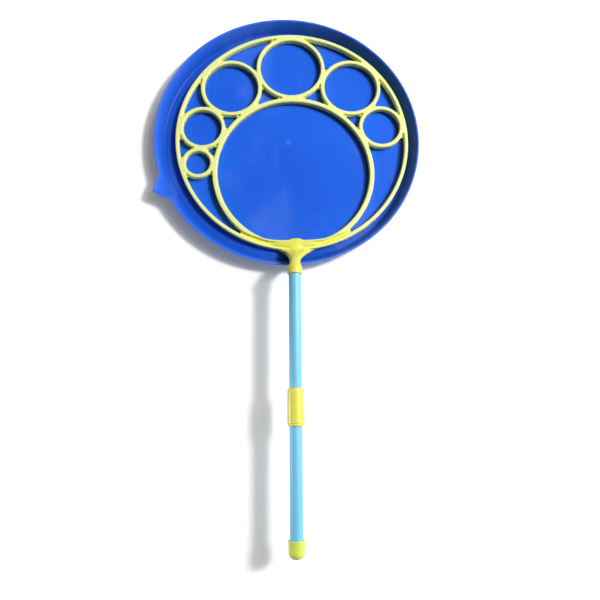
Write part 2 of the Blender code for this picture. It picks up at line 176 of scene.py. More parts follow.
# Dip tray
TRAY_WALL = 0.0018
TRAY_STEPS = 320
FLOOR_RADIUS = 0.14072
WALL_FLARE = 0.0058
WALL_PAINTED_LIGHT = 0.12            # painted light: the wall gets paler towards its top
WALL_FROM = 0.9             # of the floor's radius, from which a point belongs to the wall
LIP_HEIGHT = 0.0026
LIP_WIDTH = 0.0036
# A painted highlight along the lip's outer edge, this wide
LIP_HIGHLIGHT_WIDTH = 0.0022
LIP_EDGE = 0.0008
LIP_UNDER_EDGE = 0.0006
CORNER_RADIUS = 0.0034
BEND_RADIUS = 0.0040
FOOT_RADIUS = 0.0030
PAINTED_SHADE_WIDTH = 0.0140         # painted shade in the floor's corner: the floor is darker this far from the wall
PAINTED_SHADE_WALL_RATE = 2.0        # up the wall the painted shade fades this much faster
FLOOR_ROWS = (0.55, 0.45)   # extra rows: share of the floor's radius, share of the painted shade's width
SPOUT_ANGLE = math.radians(204.5)
SPOUT_REACH = 0.0125
SPOUT_HALF_ANGLE = math.radians(6.5)
SPOUT_POWERS = (1.5, 1.6)   # they shape the spout's outline
SPOUT_CROWD = 0.65          # how much closer the steps stand at the spout
GATE_RADIUS = 0.0046
GATE_HEIGHT = 0.0005
# A painted highlight on the gate mark, which fades out towards its edge
GATE_HIGHLIGHT = 0.22
GATE_HIGHLIGHT_FADE = 2.0
# The gate's bump as shares of its radius and height, with the rounding of each corner
GATE_FORM = ((0.0, 1.0, 0.0), (0.3, 0.96, 0.002), (0.6, 0.70, 0.002), (0.9, 0.15, 0.003),
             (1.2, 0.0, 0.004))
BASE_RECESS = 0.0005
BASE_RECESS_RADIUS = 0.1270
BASE_RECESS_EDGE = 0.0003
RIM_RADIUS = FLOOR_RADIUS + WALL_FLARE + LIP_WIDTH


def new_object(name, data):
    thing = bpy.data.objects.new(name, data)
    bpy.context.scene.collection.objects.link(thing)
    return thing


def shown(name, mesh, material, sharp=35.0):
    """A smooth-shaded object at the origin with one material."""
    mesh.materials.clear()
    mesh.materials.append(material)
    mesh.shade_smooth()
    mesh.set_sharp_from_angle(angle=math.radians(sharp))
    return new_object(name, mesh)


def mesh_from(bm, name):
    mesh = bpy.data.meshes.new(name)
    bm.to_mesh(mesh)
    bm.free()
    return mesh


def baked(piece, name):
    """Plain mesh of an object with its modifiers, and the object is removed."""
    bpy.context.view_layer.update()
    graph = bpy.context.evaluated_depsgraph_get()
    mesh = bpy.data.meshes.new_from_object(piece.evaluated_get(graph))
    mesh.name = name
    mesh.transform(piece.matrix_world)
    bpy.data.objects.remove(piece)
    return mesh


def merged(mesh, name):
    """The mesh with its doubles merged and its faces outwards."""
    bm = bmesh.new()
    bm.from_mesh(mesh)
    bmesh.ops.remove_doubles(bm, verts=bm.verts, dist=MERGE_DISTANCE)
    bmesh.ops.recalc_face_normals(bm, faces=bm.faces)
    return mesh_from(bm, name)


def clamped(value):
    return min(1.0, max(0.0, value))


def ease(share):
    return share * share * (3.0 - 2.0 * share)


def between(stations, values, share):
    """Value at a share of the way, eased between given stations."""
    for i in range(1, len(stations)):
        if share <= stations[i]:
            part = (share - stations[i - 1]) / (stations[i] - stations[i - 1])
            return values[i - 1] + (values[i] - values[i - 1]) * ease(part)
    return values[-1]


def halved(far, too_near):
    """The place between 0 and a far end up to which a test holds."""
    near = 0.0
    for _ in range(HALVINGS):
        middle = (near + far) / 2.0
        if too_near(middle):
            near = middle
        else:
            far = middle
    return far


# Outlines of the loop head, in the plane of the hoop with its centre as origin

class Edge:
    """Edge of a rib beside a gap: a circle, or a circle that is cut flat towards the handle.

    A hollow edge has the gap inside it. The way is the turning sense along the gap, 0 for the short one.
    """

    def __init__(self, x, y, radius, hollow=False, flat=None, slimming=0.0, way=0):
        self.centre = Vector((x, y))
        self.radius = radius
        self.side = -1.0 if hollow else 1.0
        self.flat = flat
        self.slimming = slimming
        self.way = way

    def grown(self, amount):
        """The same edge, moved into the gap by an amount."""
        radius = self.radius + self.side * amount
        hollow = self.side < 0.0
        return Edge(self.centre.x, self.centre.y, radius, hollow, self.flat, self.slimming, self.way)

    def reach(self, angle):
        """Distance from the centre to the edge, which is slimmed and cut flat on the handle's side."""
        down = -math.sin(angle)
        if down <= HANDLE_SIDE:
            return self.radius
        inside = BRIDGE_HALF_WIDTH - abs(self.radius * math.cos(angle))
        slim = ease(clamped(inside / BRIDGE_FADE)) * self.slimming
        radius = self.radius - self.side * slim
        if self.flat is None:
            return radius
        power = -CHORD_SOFTNESS
        return (radius ** power + (self.flat / down) ** power) ** (1.0 / power)

    def point(self, angle):
        return self.centre + Vector((math.cos(angle), math.sin(angle))) * self.reach(angle)

    def angle_to(self, place):
        return math.atan2(place.y - self.centre.y, place.x - self.centre.x)

    def arc(self, start, end, least=2):
        """Points along the edge in its turning sense, both ends included."""
        turn = (end - start) % FULL_TURN
        if self.way < 0 or (self.way == 0 and turn > math.pi):
            turn -= FULL_TURN
        count = max(least, math.ceil(abs(turn) * self.radius / POINT_STEP))
        return [self.point(start + turn * i / count) for i in range(count + 1)]

    def circle(self):
        count = math.ceil(FULL_TURN * self.radius / POINT_STEP)
        return [self.point(FULL_TURN * i / count) for i in range(count)]


def crossing(first, second, near):
    """The point where two circular edges cross that is closest to a given place."""
    line = second.centre - first.centre
    along = (first.radius ** 2 - second.radius ** 2 + line.length_squared) / (2.0 * line.length)
    off = math.sqrt(max(0.0, first.radius ** 2 - along ** 2))
    ahead = line.normalized()
    aside = Vector((-ahead.y, ahead.x))
    foot = first.centre + ahead * along
    return min((foot + aside * off, foot - aside * off), key=lambda place: (place - near).length)


def contact(first, second):
    """Where two edges touch or nearly touch."""
    if second.side < 0.0:
        first, second = second, first
    return first.centre + (second.centre - first.centre).normalized() * first.radius


def rounded_gap(edges, middle):
    """Outline of the gap between edges, with a small round where two of them run together."""
    rounds = []
    for edge, other in zip(edges, edges[1:] + edges[:1]):
        place = crossing(edge.grown(TIP_RADIUS), other.grown(TIP_RADIUS), middle)
        rounds.append(Edge(place.x, place.y, TIP_RADIUS))
    outline = []
    for i, edge in enumerate(edges):
        other = edges[(i + 1) % len(edges)]
        before, after = rounds[i - 1], rounds[i]
        outline += edge.arc(edge.angle_to(before.centre), edge.angle_to(after.centre))
        start = after.angle_to(edge.point(edge.angle_to(after.centre)))
        end = after.angle_to(other.point(other.angle_to(after.centre)))
        cusp = after.angle_to(contact(edge, other))
        turn = (end - start) % FULL_TURN
        after.way = 1 if math.cos(start + turn / 2.0 - cusp) > 0.0 else -1
        outline += after.arc(start, end, least=TIP_STEPS)[1:-1]
    return outline


def web_reach(edge, other):
    """How far from the contact the gap between two edges opens to the webs' end gap."""
    def too_narrow(reach):
        gap = 0.0
        for side in (edge, other):
            gap += side.side * (side.radius - math.sqrt(side.radius ** 2 - reach ** 2))
        return gap < WEB_END_GAP

    return halved(min(edge.radius, other.radius) * WEB_REACH_LIMIT, too_narrow)


def web_ends(edge, other, middle):
    """The two ends of the straight line where a web stops, inside the two ribs."""
    touch = contact(edge, other)
    ahead = (touch - edge.centre).normalized()
    across = Vector((-ahead.y, ahead.x))
    if across.dot(middle - touch) < 0.0:
        across = -across
    reach = web_reach(edge, other)
    ends = []
    for side in (edge, other):
        inner = side.radius - side.side * WEB_INSET
        towards = (touch - side.centre).normalized()
        ends.append(side.centre + across * reach + towards * math.sqrt(inner ** 2 - reach ** 2))
    return ends


def bridge_ends(edge, other, side):
    """Where the bridge's plate stops beside a crescent, inside the hoop and the big loop."""
    ends = []
    for rib in (edge, other):
        inner = rib.radius - rib.side * WEB_INSET
        drop = math.sqrt(inner ** 2 - BRIDGE_HALF_WIDTH ** 2)
        ends.append(Vector((side * BRIDGE_HALF_WIDTH, rib.centre.y - drop)))
    return ends


def blunt_gap(edges, middle, last_ends=None):
    """Outline of the hole that the webs leave between edges, with straight ends."""
    pairs = list(zip(edges, edges[1:] + edges[:1]))
    ends = [web_ends(edge, other, middle) for edge, other in pairs[:-1]]
    ends.append(last_ends or web_ends(*pairs[-1], middle))
    outline = []
    for i, edge in enumerate(edges):
        inset = edge.grown(-WEB_INSET)
        outline += inset.arc(inset.angle_to(ends[i - 1][1]), inset.angle_to(ends[i][0]))
    return outline


def loop_between(angle):
    """The small loop in a direction from the big loop's centre that touches hoop and big loop."""
    rise = BIG_LOOP_OFFSET * math.sin(angle)
    room = HOOP_INNER ** 2 - BIG_LOOP_OUTER ** 2 - BIG_LOOP_OFFSET ** 2
    radius = (room + 2.0 * rise * BIG_LOOP_OUTER) / (2.0 * (HOOP_INNER + BIG_LOOP_OUTER - rise))
    reach = BIG_LOOP_OUTER + radius
    return Edge(reach * math.cos(angle), reach * math.sin(angle) - BIG_LOOP_OFFSET, radius)


def next_loop_angle(angle, side):
    """Direction of the next loop round, which touches the loop at this angle."""
    loop = loop_between(angle)

    def too_close(turn):
        other = loop_between(angle + side * turn)
        return (other.centre - loop.centre).length < loop.radius + other.radius

    return angle + side * halved(LOOP_STEP_LIMIT, too_close)


def loop_row(side, count):
    """The loops on one side, the top one first."""
    angle = math.pi / 2.0
    row = [loop_between(angle)]
    for _ in range(count):
        angle = next_loop_angle(angle, side)
        row.append(loop_between(angle))
    return row


hoop_edge = Edge(0.0, 0.0, HOOP_INNER, hollow=True)
big_edge = Edge(0.0, -BIG_LOOP_OFFSET, BIG_LOOP_OUTER)
left_row = loop_row(1.0, LOOPS_LEFT)
right_row = loop_row(-1.0, LOOPS_RIGHT)
small_loops = left_row + right_row[1:]


def closed_gaps():
    """The three-sided gaps beside each pair of neighbouring loops, as edges and a place inside."""
    gaps = []
    for row in (left_row, right_row):
        for loop, other in zip(row, row[1:]):
            for rib in (hoop_edge, big_edge):
                edges = [loop, other, rib]
                touches = [contact(*pair) for pair in ((loop, other), (other, rib), (rib, loop))]
                gaps.append((edges, sum(touches, Vector((0.0, 0.0))) / 3.0))
    return gaps


def big_opening(inset):
    """The big loop's inside with its straight edge towards the handle, widened by an inset."""
    flat = CHORD_DROP - BIG_LOOP_OFFSET + inset
    return Edge(0.0, -BIG_LOOP_OFFSET, BIG_LOOP_RADIUS + inset, flat=flat).circle()


def rib_outlines():
    """Outer edge and holes of the full-height ribs."""
    outlines = [Edge(0.0, 0.0, HOOP_OUTER).circle(), big_opening(0.0)]
    outlines += [loop.grown(-SMALL_LOOP_RIB).circle() for loop in small_loops]
    for edges, middle in closed_gaps():
        outlines.append(rounded_gap([edge.grown(RIB_GAIN) for edge in edges], middle))
    hoop = Edge(0.0, 0.0, HOOP_INNER, hollow=True, slimming=HOOP_SLIMMING, way=1)
    flat = CHORD_DROP + CHORD_RIB - BIG_LOOP_OFFSET
    big = Edge(0.0, -BIG_LOOP_OFFSET, BIG_LOOP_OUTER, flat=flat, slimming=BIG_LOOP_SLIMMING, way=-1)
    edges = [hoop.grown(RIB_GAIN), right_row[-1].grown(RIB_GAIN), big.grown(2.0 * RIB_GAIN),
             left_row[-1].grown(RIB_GAIN)]
    outlines.append(rounded_gap(edges, Vector((0.0, -HOOP_OUTER))))
    return outlines


def web_outlines():
    """Outer edge and holes of the recessed plate between the ribs."""
    outlines = [hoop_edge.grown(-2.0 * WEB_INSET).circle(), big_opening(WEB_INSET)]
    outlines += [loop.grown(WEB_INSET - SMALL_LOOP_RIB).circle() for loop in small_loops]
    outlines += [blunt_gap(edges, middle) for edges, middle in closed_gaps()]
    for side, loop in ((-1.0, left_row[-1]), (1.0, right_row[-1])):
        middle = Vector((side * CRESCENT_MIDDLE[0], CRESCENT_MIDDLE[1])) * HOOP_INNER
        ends = bridge_ends(big_edge, hoop_edge, side)
        outlines.append(blunt_gap([hoop_edge, loop, big_edge], middle, ends))
    return outlines


def flat_layer(name, outlines, bottom, top, rounding):
    """A plate with rounded edges, filled between its outlines."""
    curve = bpy.data.curves.new(name, "CURVE")
    curve.dimensions = "2D"
    curve.fill_mode = "BOTH"
    curve.extrude = (top - bottom) / 2.0 - rounding
    curve.bevel_depth = rounding
    curve.bevel_resolution = ROUNDING_STEPS
    curve.offset = -rounding
    for outline in outlines:
        spline = curve.splines.new("POLY")
        spline.points.add(len(outline) - 1)
        for point, place in zip(spline.points, outline):
            point.co = (place.x, place.y, 0.0, 1.0)
        spline.use_cyclic_u = True
    plate = new_object(name, curve)
    middle = Vector((0.0, 0.0, (bottom + top) / 2.0))
    plate.matrix_world = HEAD_PLACE @ Matrix.Translation(middle)
    return merged(baked(plate, name), name)


# Neck

def spine_line(share):
    """Centre line of the neck: level on the bridge, steep over the rim, level in the collar."""
    start = HEAD_PLACE @ Vector((0.0, NOSE_REACH - CHORD_DROP, WEB_FLOOR + ROOT_HEIGHT / 2.0))
    place = start.lerp(NECK_END, share)
    rise = clamped((share - LEVEL_SHARE) / (1.0 - LEVEL_SHARE))
    place.z = start.z + (NECK_END.z - start.z) * ease(rise)
    return place


def wing_line(share):
    """Middle of the two wings, from inside the hoop's rib up to the waist."""
    start = HEAD_PLACE @ Vector((0.0, -HOOP_INNER - HOOP_RIB / 2.0, RIB_HEIGHT / 2.0))
    end = spine_line(WING_END)
    place = start.lerp(end, share)
    place.z = start.z + (end.z - start.z) * ease(share)
    return place


def spine_size(share):
    """Width and depth of the neck, with its rounded root."""
    stations = (0.0, LEVEL_SHARE, WAIST_SHARE, 1.0)
    middle = (ROOT_WIDTH + WAIST_WIDTH) / 2.0
    width = between(stations, (ROOT_WIDTH, middle, WAIST_WIDTH, WAIST_WIDTH), share)
    depth = between(stations, (ROOT_HEIGHT, ROOT_HEIGHT, NECK_DEPTH, NECK_DEPTH), share)
    nose = math.sqrt(1.0 - NOSE_ROUNDNESS * max(0.0, 1.0 - share / NOSE_SHARE) ** 2)
    return width * nose, depth * nose


def wing_size(share):
    """Width and depth of the two wings together."""
    inside = WAIST_WIDTH - REST_GAP
    root = FLARE_ROOT * max(0.0, 1.0 - share / FLARE_ROOT_SHARE) ** 2
    return inside + (FLARE_WIDTH - inside) * (1.0 - share) ** 2 + root, WING_DEPTH


def boxy(value, squareness):
    """A sine or cosine that is pushed outwards for a boxier oval."""
    return math.copysign(abs(value) ** (1.0 / squareness), value)


def add_loft(bm, line, size, squareness):
    """A closed loft of oval sections, which are boxier for a higher squareness."""
    rings = []
    for i in range(LOFT_STEPS + 1):
        share = i / LOFT_STEPS
        ahead = line(min(1.0, share + LOFT_GLANCE)) - line(max(0.0, share - LOFT_GLANCE))
        across = Matrix.Rotation(LOOPS_TURN * (1.0 - share), 3, "Z") @ Vector((1.0, 0.0, 0.0))
        lift = ahead.cross(across).normalized()
        width, depth = size(share)
        ring = []
        for k in range(LOFT_SIDES):
            turn = FULL_TURN * (k + 0.5) / LOFT_SIDES
            aside = across * width / 2.0 * boxy(math.cos(turn), squareness)
            up = lift * depth / 2.0 * boxy(math.sin(turn), squareness)
            ring.append(bm.verts.new(line(share) + aside + up))
        rings.append(ring)
    for ring, other in zip(rings, rings[1:]):
        for k in range(LOFT_SIDES):
            bm.faces.new((ring[k - 1], ring[k], other[k], other[k - 1]))
    bm.faces.new(rings[0])
    bm.faces.new(rings[-1])


def overrun(rule):
    """A rule of the spine that runs on past the spine's end."""
    return lambda share: rule(share * NECK_OVERRUN)


def fitted_to_collar(mesh):
    """Cuts the neck off inside the collar's floor and widens its end to the round collar."""
    bm = bmesh.new()
    bm.from_mesh(mesh)
    everything = bm.verts[:] + bm.edges[:] + bm.faces[:]
    bmesh.ops.bisect_plane(bm, geom=everything, plane_co=NECK_END, plane_no=(0.0, 1.0, 0.0),
                           clear_inner=True)
    bmesh.ops.holes_fill(bm, edges=bm.edges)
    bmesh.ops.recalc_face_normals(bm, faces=bm.faces)
    for vert in bm.verts:
        away = (vert.co.y - COLLAR_BACK) / COLLAR_FLARE
        if away < 1.0:
            aside = Vector((vert.co.x - AXIS_X, vert.co.z - AXIS_Z))
            wide = aside.normalized() * (COLLAR_RADIUS - COLLAR_INSET)
            aside = aside.lerp(wide, ease(1.0 - max(0.0, away)) * min(1.0, aside.length / TUBE_WALL))
            vert.co.x = AXIS_X + aside.x
            vert.co.z = AXIS_Z + aside.y
    return mesh_from(bm, "neck_form")


def neck_mesh():
    """Spine, wings and the mound at their root, melted into one another with soft fillets."""
    bm = bmesh.new()
    add_loft(bm, overrun(spine_line), overrun(spine_size), SPINE_SQUARENESS)
    add_loft(bm, wing_line, wing_size, WING_SQUARENESS)
    lift = WEB_FLOOR + MOUND_SIZE[2] * MOUND_LIFT
    middle = HEAD_PLACE @ Vector((0.0, -(CHORD_DROP + HOOP_INNER) / 2.0, lift))
    mound = Matrix.Translation(middle) @ Matrix.Diagonal((*MOUND_SIZE, 1.0))
    bmesh.ops.create_uvsphere(bm, u_segments=48, v_segments=24, radius=1.0, matrix=mound)
    bmesh.ops.recalc_face_normals(bm, faces=bm.faces)
    neck = new_object("neck_form", mesh_from(bm, "neck_form"))
    melt = neck.modifiers.new("melt", "REMESH")
    melt.mode = "VOXEL"
    melt.voxel_size = NECK_VOXEL
    soften = neck.modifiers.new("soften", "SMOOTH")
    soften.factor = 0.5
    soften.iterations = SOFTENING_ROUNDS
    return fitted_to_collar(baked(neck, "neck_form"))


# Node trees

class Wiring:
    """Puts nodes into a tree, with settings, values and links given by name or in order."""

    def __init__(self, tree):
        self.nodes = tree.nodes
        self.links = tree.links

    def feed(self, socket, value):
        """Links an input to another socket or sets its value."""
        if isinstance(value, bpy.types.NodeSocket):
            self.links.new(value, socket)
        else:
            socket.default_value = value

    def fill(self, node, **named):
        for name, value in named.items():
            if hasattr(node, name):
                setattr(node, name, value)
            else:
                self.feed(node.inputs[name.replace("_", " ")], value)
        return node

    def add(self, kind, *inputs, **named):
        node = self.fill(self.nodes.new(kind), **named)
        for socket, value in zip(node.inputs, inputs):
            self.feed(socket, value)
        return node

    def maths(self, operation, *values):
        return self.add("ShaderNodeMath", *values, operation=operation).outputs[0]

    def greatest(self, first, *others):
        for other in others:
            first = self.maths("MAXIMUM", first, other)
        return first

    def noise(self, vector, scale, **values):
        return self.add("ShaderNodeTexNoise", Vector=vector, Scale=scale, **values).outputs["Fac"]

    def ranged(self, value, **values):
        return self.add("ShaderNodeMapRange", Value=value, **values).outputs["Result"]

    def blend(self, share, first, second):
        """A colour on the way from one colour to another."""
        node = self.add("ShaderNodeMix", share, data_type="RGBA")
        colours = [socket for socket in node.inputs if socket.type == "RGBA"]
        for socket, colour in zip(colours, (first, second)):
            self.feed(socket, colour)
        return [socket for socket in node.outputs if socket.type == "RGBA"][0]


def new_tree(name, kind, inputs, outputs):
    """An empty tree with named sockets, its wiring, and the sockets that it is given."""
    tree = bpy.data.node_groups.new(name, kind)
    for way, sockets in (("INPUT", inputs), ("OUTPUT", outputs)):
        for label, socket in sockets.items():
            tree.interface.new_socket(label, in_out=way, socket_type="NodeSocket" + socket)
    wires = Wiring(tree)
    return tree, wires, wires.add("NodeGroupInput").outputs


def made_by(tree, carrier, place, values):
    """Plain mesh that a tree makes of a carrier's mesh in a place, with its inputs set by their names."""
    carrier.matrix_world = place
    modifier = carrier.modifiers.new(tree.name, "NODES")
    modifier.node_group = tree
    for item in tree.interface.items_tree:
        if item.item_type == "SOCKET" and item.in_out == "INPUT" and item.name in values:
            modifier[item.identifier] = values[item.name]
    return baked(carrier, carrier.name)


def painted(wires, geometry, material):
    """The end of a tree: a plain mesh with its material."""
    real = wires.add("GeometryNodeRealizeInstances", Geometry=geometry).outputs["Geometry"]
    return wires.add("GeometryNodeSetMaterial", Geometry=real, Material=material).outputs["Geometry"]


# Turned pieces

def soft_profile(corners):
    """An outline of (radius, place) points from corners of (radius, place, rounding)."""
    places = [Vector(corner[:2]) for corner in corners]
    outline = []
    for i, place in enumerate(places):
        rounding = corners[i][2]
        if rounding <= 0.0:
            outline.append(place)
            continue
        before = places[i - 1] - place
        after = places[(i + 1) % len(places)] - place
        cut = rounding / math.tan(before.angle(after) / 2.0)
        cut = min(cut, before.length * CORNER_LIMIT, after.length * CORNER_LIMIT)
        start = place + before.normalized() * cut
        end = place + after.normalized() * cut
        for k in range(CORNER_STEPS + 1):
            t = k / CORNER_STEPS
            outline.append(start * (1.0 - t) ** 2 + place * 2.0 * t * (1.0 - t) + end * t ** 2)
    return outline


def turning_tree():
    """Turns a section of points, X the radius and Z the height, round Z.

    The section's attribute "reach" says how far a point is drawn out at the spout, and its two attributes
    of painted light and painted shade are kept. A seam is a thin parting line on both sides, on wide
    parts only.
    """
    sizes = ("Start Angle", "Crowding", "Spout Half Angle", "Seam Height", "Seam From")
    tree, wires, given = new_tree(
        "turned_piece", "GeometryNodeTree",
        {"Section": "Geometry", "Steps": "Int", "Closing Rows": "Int", **dict.fromkeys(sizes, "Float"),
         "Plastic": "Material"},
        {"Piece": "Geometry"})
    add, maths = wires.add, wires.maths
    points = add("GeometryNodeAttributeDomainSize", Geometry=given["Section"]).outputs["Point Count"]
    rows = maths("ADD", points, given["Closing Rows"])
    grid = add("GeometryNodeMeshGrid", Vertices_X=maths("ADD", given["Steps"], 1.0), Vertices_Y=rows)
    spot = add("GeometryNodeInputPosition").outputs["Position"]
    cell = add("ShaderNodeSeparateXYZ", Vector=spot).outputs
    around = maths("MULTIPLY", maths("ADD", cell["X"], 0.5), FULL_TURN)
    share = maths("ADD", cell["Y"], 0.5)
    row = maths("ROUND", maths("MULTIPLY", share, maths("SUBTRACT", rows, 1.0)))
    index = maths("MODULO", row, points)

    def sampled(value, kind):
        node = add("GeometryNodeSampleIndex", data_type=kind, Geometry=given["Section"], Value=value,
                   Index=index)
        return node.outputs["Value"]

    def mark(name):
        node = add("GeometryNodeInputNamedAttribute", data_type="FLOAT", Name=name)
        return sampled(node.outputs["Attribute"], "FLOAT")

    point = add("ShaderNodeSeparateXYZ", Vector=sampled(spot, "FLOAT_VECTOR")).outputs
    off = maths("SUBTRACT", around, maths("MULTIPLY", given["Crowding"], maths("SINE", around)))
    nearer = maths("MAXIMUM", maths("MINIMUM", off, maths("SUBTRACT", FULL_TURN, off)), 0.0)
    aside = maths("MINIMUM", maths("DIVIDE", nearer, given["Spout Half Angle"]), 1.0)
    slope, bulge = SPOUT_POWERS
    lip = maths("POWER", maths("SUBTRACT", 1.0, maths("POWER", aside, slope)), bulge)
    side = maths("LESS_THAN", maths("ABSOLUTE", maths("SINE", around)), SEAM_SINE)
    wide = maths("GREATER_THAN", point["X"], given["Seam From"])
    seam = maths("MULTIPLY", maths("MULTIPLY", side, wide), given["Seam Height"])
    far = maths("ADD", point["X"], maths("MULTIPLY_ADD", mark("reach"), lip, seam))
    angle = maths("ADD", off, given["Start Angle"])
    target = add("ShaderNodeCombineXYZ", X=maths("MULTIPLY", far, maths("COSINE", angle)),
                 Y=maths("MULTIPLY", far, maths("SINE", angle)), Z=point["Z"])
    piece = grid.outputs["Mesh"]
    for name in ("pale", "deep"):
        piece = add("GeometryNodeStoreNamedAttribute", data_type="FLOAT", domain="POINT", Geometry=piece,
                    Name=name, Value=mark(name)).outputs["Geometry"]
    moved = add("GeometryNodeSetPosition", Geometry=piece, Position=target.outputs["Vector"])
    add("NodeGroupOutput", Piece=painted(wires, moved.outputs["Geometry"], given["Plastic"]))
    return tree


turning = turning_tree()


def turned_mesh(name, outline, material, place=HANDLE_PLACE, marks=None, **sizes):
    """A section of (radius, height) points turned round the Z axis of a place, as a closed mesh.

    The marks are the section's attributes, with one value for each of its points.
    """
    section = bpy.data.meshes.new(name)
    section.from_pydata([(radius, 0.0, height) for radius, height in outline], [], [])
    for mark, values in (marks or {}).items():
        section.attributes.new(mark, "FLOAT", "POINT").data.foreach_set("value", values)
    solid = min(radius for radius, height in outline) <= 0.0
    values = {"Steps": ROUND_STEPS, "Closing Rows": 0 if solid else 1, "Spout Half Angle": 1.0,
              "Plastic": material, **sizes}
    return merged(made_by(turning, new_object(name, section), place, values), name)


def socket_collar(material):
    """The round end of the neck that the upper tube pushes into."""
    floor = COLLAR_BACK - SOCKET_FLOOR
    corners = [(0.0, COLLAR_BACK, 0.0), (COLLAR_RADIUS, COLLAR_BACK, 0.0),
               (COLLAR_RADIUS, MOUTH_Y, COLLAR_EDGE), (SOCKET_RADIUS, MOUTH_Y, SOCKET_EDGE),
               (SOCKET_RADIUS, floor, 0.0), (0.0, floor, 0.0)]
    return turned_mesh("socket_collar", soft_profile(corners), material)


def tube_mesh(name, start, end, material):
    """A hollow tube with slightly broken edges."""
    inner = TUBE_RADIUS - TUBE_WALL
    places = ((TUBE_RADIUS, start), (TUBE_RADIUS, end), (inner, end), (inner, start))
    return turned_mesh(name, soft_profile([(*place, TUBE_EDGE) for place in places]), material)


def coupler_mesh(material):
    """A sleeve with slimmer rounded ends and a stop ring inside."""
    start, end = coupler_high.y, coupler_low.y
    stop_start = upper_low.y - REST_GAP
    stop_end = lower_high.y + REST_GAP
    slim = COUPLER_RADIUS - COUPLER_STEP
    corners = [(SOCKET_RADIUS, start, SOCKET_EDGE), (slim, start, COUPLER_END_EDGE),
               (slim, start - COUPLER_BAND, COUPLER_STEP_EDGE),
               (COUPLER_RADIUS, start - COUPLER_BAND - COUPLER_STEP, COUPLER_STEP_EDGE),
               (COUPLER_RADIUS, end + COUPLER_BAND + COUPLER_STEP, COUPLER_STEP_EDGE),
               (slim, end + COUPLER_BAND, COUPLER_STEP_EDGE),
               (slim, end, COUPLER_END_EDGE), (SOCKET_RADIUS, end, SOCKET_EDGE),
               (SOCKET_RADIUS, stop_end, 0.0), (STOP_RADIUS, stop_end, STOP_EDGE),
               (STOP_RADIUS, stop_start, STOP_EDGE), (SOCKET_RADIUS, stop_start, 0.0)]
    return turned_mesh("coupler_body", soft_profile(corners), material, **SEAM)


def cap_mesh(material):
    """A cup with a rim at its mouth and a rounded end."""
    start, end = cap_high.y, cap_low.y
    floor = lower_low.y - REST_GAP
    body = CAP_RADIUS - CAP_STEP
    corners = [(0.0, floor, 0.0), (SOCKET_RADIUS, floor, 0.0), (SOCKET_RADIUS, start, SOCKET_EDGE),
               (CAP_RADIUS, start, CAP_RIM_EDGE), (CAP_RADIUS, start - CAP_RIM, CAP_STEP_EDGE),
               (body, start - CAP_RIM - CAP_STEP_LENGTH, CAP_STEP_EDGE)]
    for k in range(CAP_CROWN_STEPS):
        turn = math.pi / 2.0 * k / CAP_CROWN_STEPS
        corners.append((body * math.cos(turn), end + CAP_CROWN * (1.0 - math.sin(turn)), 0.0))
    corners.append((0.0, end, 0.0))
    return turned_mesh("cap_body", soft_profile(corners), material, **SEAM)


# Dip tray

def tray_profile():
    """Closed outline of the shell's section as (radius, height) points."""
    wall = Vector((WALL_FLARE, TRAY_HEIGHT - LIP_HEIGHT - TRAY_WALL))
    lean = wall.x / wall.y
    out = Vector((wall.y, -wall.x)).normalized() * TRAY_WALL
    under_lip = TRAY_HEIGHT - TRAY_WALL
    bend = FLOOR_RADIUS + lean * under_lip
    under_bend = FLOOR_RADIUS + out.x + lean * (under_lip - TRAY_WALL - out.y)
    foot = FLOOR_RADIUS + out.x - lean * (TRAY_WALL + out.y)
    middle_row, corner_row = FLOOR_ROWS
    corners = [(GATE_RADIUS * out_share, TRAY_WALL + GATE_HEIGHT * up_share, rounding)
               for out_share, up_share, rounding in GATE_FORM]
    corners += [(FLOOR_RADIUS * middle_row, TRAY_WALL, 0.0), (FLOOR_RADIUS - PAINTED_SHADE_WIDTH, TRAY_WALL, 0.0),
                (FLOOR_RADIUS - PAINTED_SHADE_WIDTH * corner_row, TRAY_WALL, 0.0),
                (FLOOR_RADIUS, TRAY_WALL, CORNER_RADIUS), (bend, TRAY_HEIGHT, BEND_RADIUS),
                (RIM_RADIUS, TRAY_HEIGHT, LIP_EDGE), (RIM_RADIUS, under_lip, LIP_UNDER_EDGE),
                (under_bend, under_lip, LIP_EDGE), (foot, 0.0, FOOT_RADIUS),
                (BASE_RECESS_RADIUS + BASE_RECESS, 0.0, BASE_RECESS_EDGE),
                (BASE_RECESS_RADIUS, BASE_RECESS, BASE_RECESS_EDGE), (0.0, BASE_RECESS, 0.0)]
    return soft_profile(corners)


def tray_mesh(material):
    """The shell turned round Z, with its rim drawn out to a pouring spout."""
    profile = tray_profile()
    edge = max(range(len(profile)), key=lambda i: profile[i][0])
    marks = {"reach": [], "pale": [], "deep": []}
    for i, (radius, height) in enumerate(profile):
        up = clamped((height - TRAY_WALL) / (TRAY_HEIGHT - TRAY_WALL))
        marks["reach"].append(SPOUT_REACH * up if radius > FLOOR_RADIUS * WALL_FROM else 0.0)
        # Painted highlights on the lip's edge and the gate mark, and painted light up the wall
        on_lip = (radius - RIM_RADIUS + LIP_HIGHLIGHT_WIDTH) / LIP_HIGHLIGHT_WIDTH
        on_gate = (GATE_RADIUS - radius) / GATE_RADIUS * GATE_HIGHLIGHT_FADE
        on_wall = up if i < edge and radius > FLOOR_RADIUS else 0.0
        marks["pale"].append(max(clamped(on_lip), GATE_HIGHLIGHT * clamped(on_gate), WALL_PAINTED_LIGHT * on_wall))
        # Painted shade in the floor's corner next to the wall, fading out up the wall
        from_corner = max(FLOOR_RADIUS - radius, PAINTED_SHADE_WALL_RATE * (height - TRAY_WALL))
        marks["deep"].append(clamped(1.0 - from_corner / PAINTED_SHADE_WIDTH) if i < edge else 0.0)
    sizes = {"Steps": TRAY_STEPS, "Start Angle": SPOUT_ANGLE, "Crowding": SPOUT_CROWD,
             "Spout Half Angle": SPOUT_HALF_ANGLE}
    return turned_mesh("tray_shell", profile, material, Matrix(), marks, **sizes)


# Ridges inside the loops

